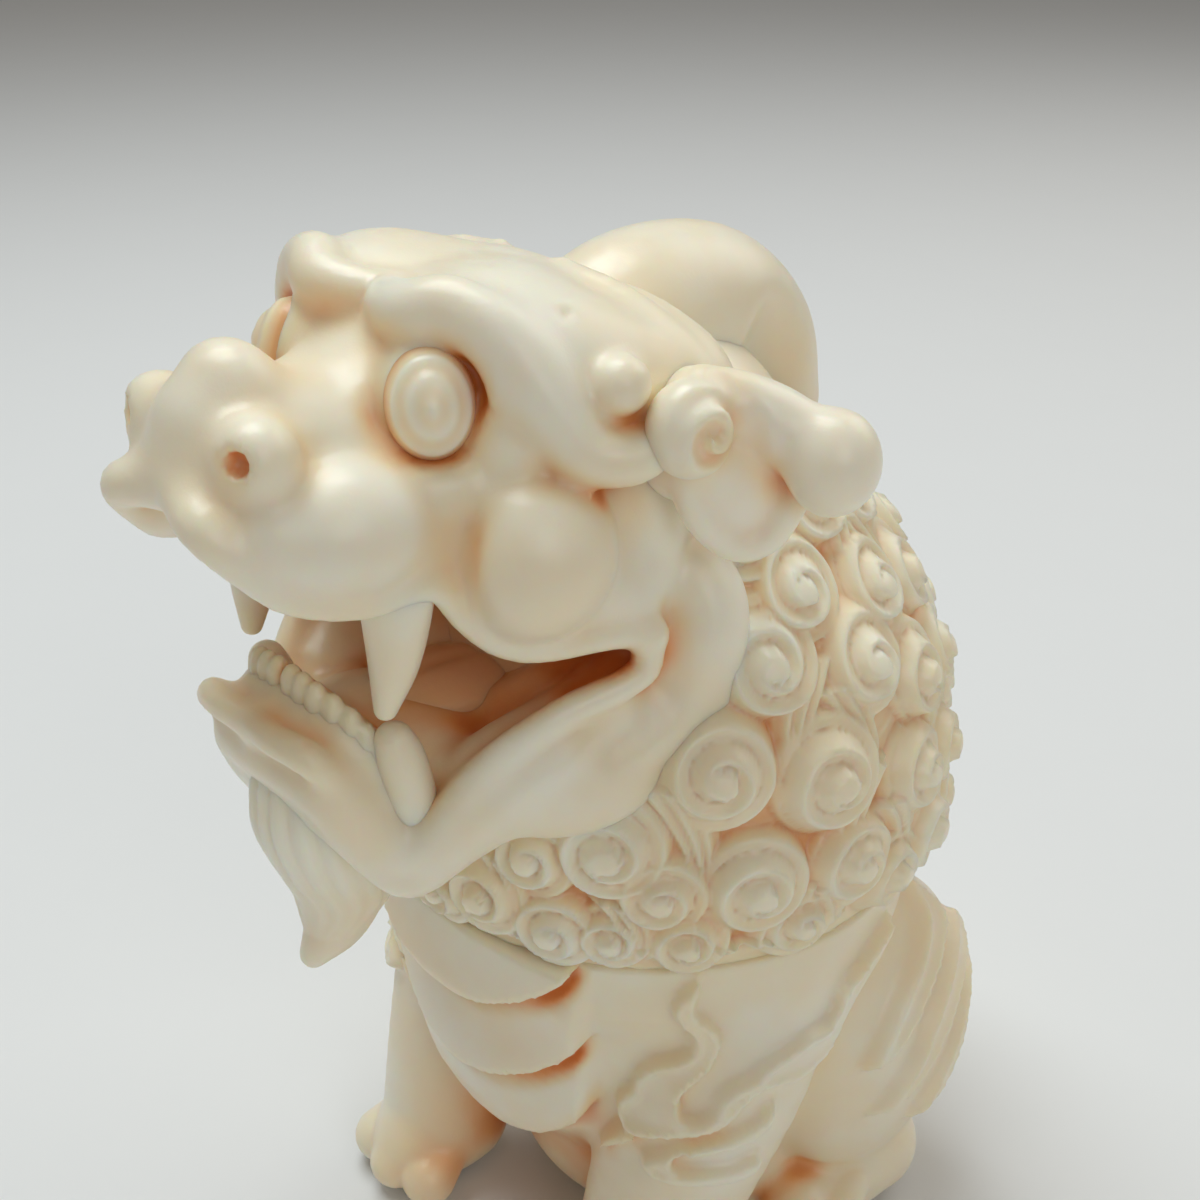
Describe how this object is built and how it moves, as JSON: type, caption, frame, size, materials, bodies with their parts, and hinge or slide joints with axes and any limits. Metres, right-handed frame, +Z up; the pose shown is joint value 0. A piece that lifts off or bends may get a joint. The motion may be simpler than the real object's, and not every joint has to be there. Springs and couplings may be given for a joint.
{
  "type": "incense burner",
  "caption": "Seated mythical beast incense burner in ivory-coloured resin, with a lift-off hollow head over a brass burner cup, so that smoke leaves by the open mouth.",
  "frame": {"origin": "on the ground under the middle of the object's box, in the plane of symmetry", "axes": "+Z up, -Y the way the beast faces, +X the beast's left side"},
  "size_m": [0.0586, 0.0845, 0.1042],
  "materials": {
    "ivory_resin": "satin cast resin, slightly translucent, with warm shade in the carving",
    "pale_ivory_resin": "satin cast resin, polished pale on raised forms",
    "cup_brass": "spun brass with light soot and tarnish",
    "mineral_fibre": "matt heat-proof fibre mat with ash marks",
    "grey_felt": "dark grey wool felt"
  },
  "bodies": {
    "body": {"body_shell": "ivory_resin", "tail": "ivory_resin", "felt_pad_fore_left": "grey_felt", "felt_pad_fore_right": "grey_felt", "felt_pad_hind_left": "grey_felt", "felt_pad_hind_right": "grey_felt"},
    "head": {"head_shell": "ivory_resin", "horn": "pale_ivory_resin", "ear_left": "pale_ivory_resin", "ear_right": "pale_ivory_resin", "eye_left": "pale_ivory_resin", "eye_right": "pale_ivory_resin", "upper_fang_left": "pale_ivory_resin", "upper_fang_right": "pale_ivory_resin", "lower_fang_left": "pale_ivory_resin", "lower_fang_right": "pale_ivory_resin", "tongue": "ivory_resin", "beard": "ivory_resin", "locating_ring": "ivory_resin"},
    "cup": {"burner_cup": "cup_brass", "fibre_pad": "mineral_fibre"},
    "holder": {"incense_holder": "cup_brass"}
  },
  "joints": [
    {"name": "head_lift", "type": "slide", "parent": "body", "child": "head", "axis": [0, 0, 1], "range_m": [0, 0.06]},
    {"name": "cup_lift", "type": "slide", "parent": "body", "child": "cup", "axis": [0, 0, 1], "range_m": [0, 0.012]},
    {"name": "holder_lift", "type": "slide", "parent": "cup", "child": "holder", "axis": [0, 0, 1], "range_m": [0, 0.01]}
  ]
}
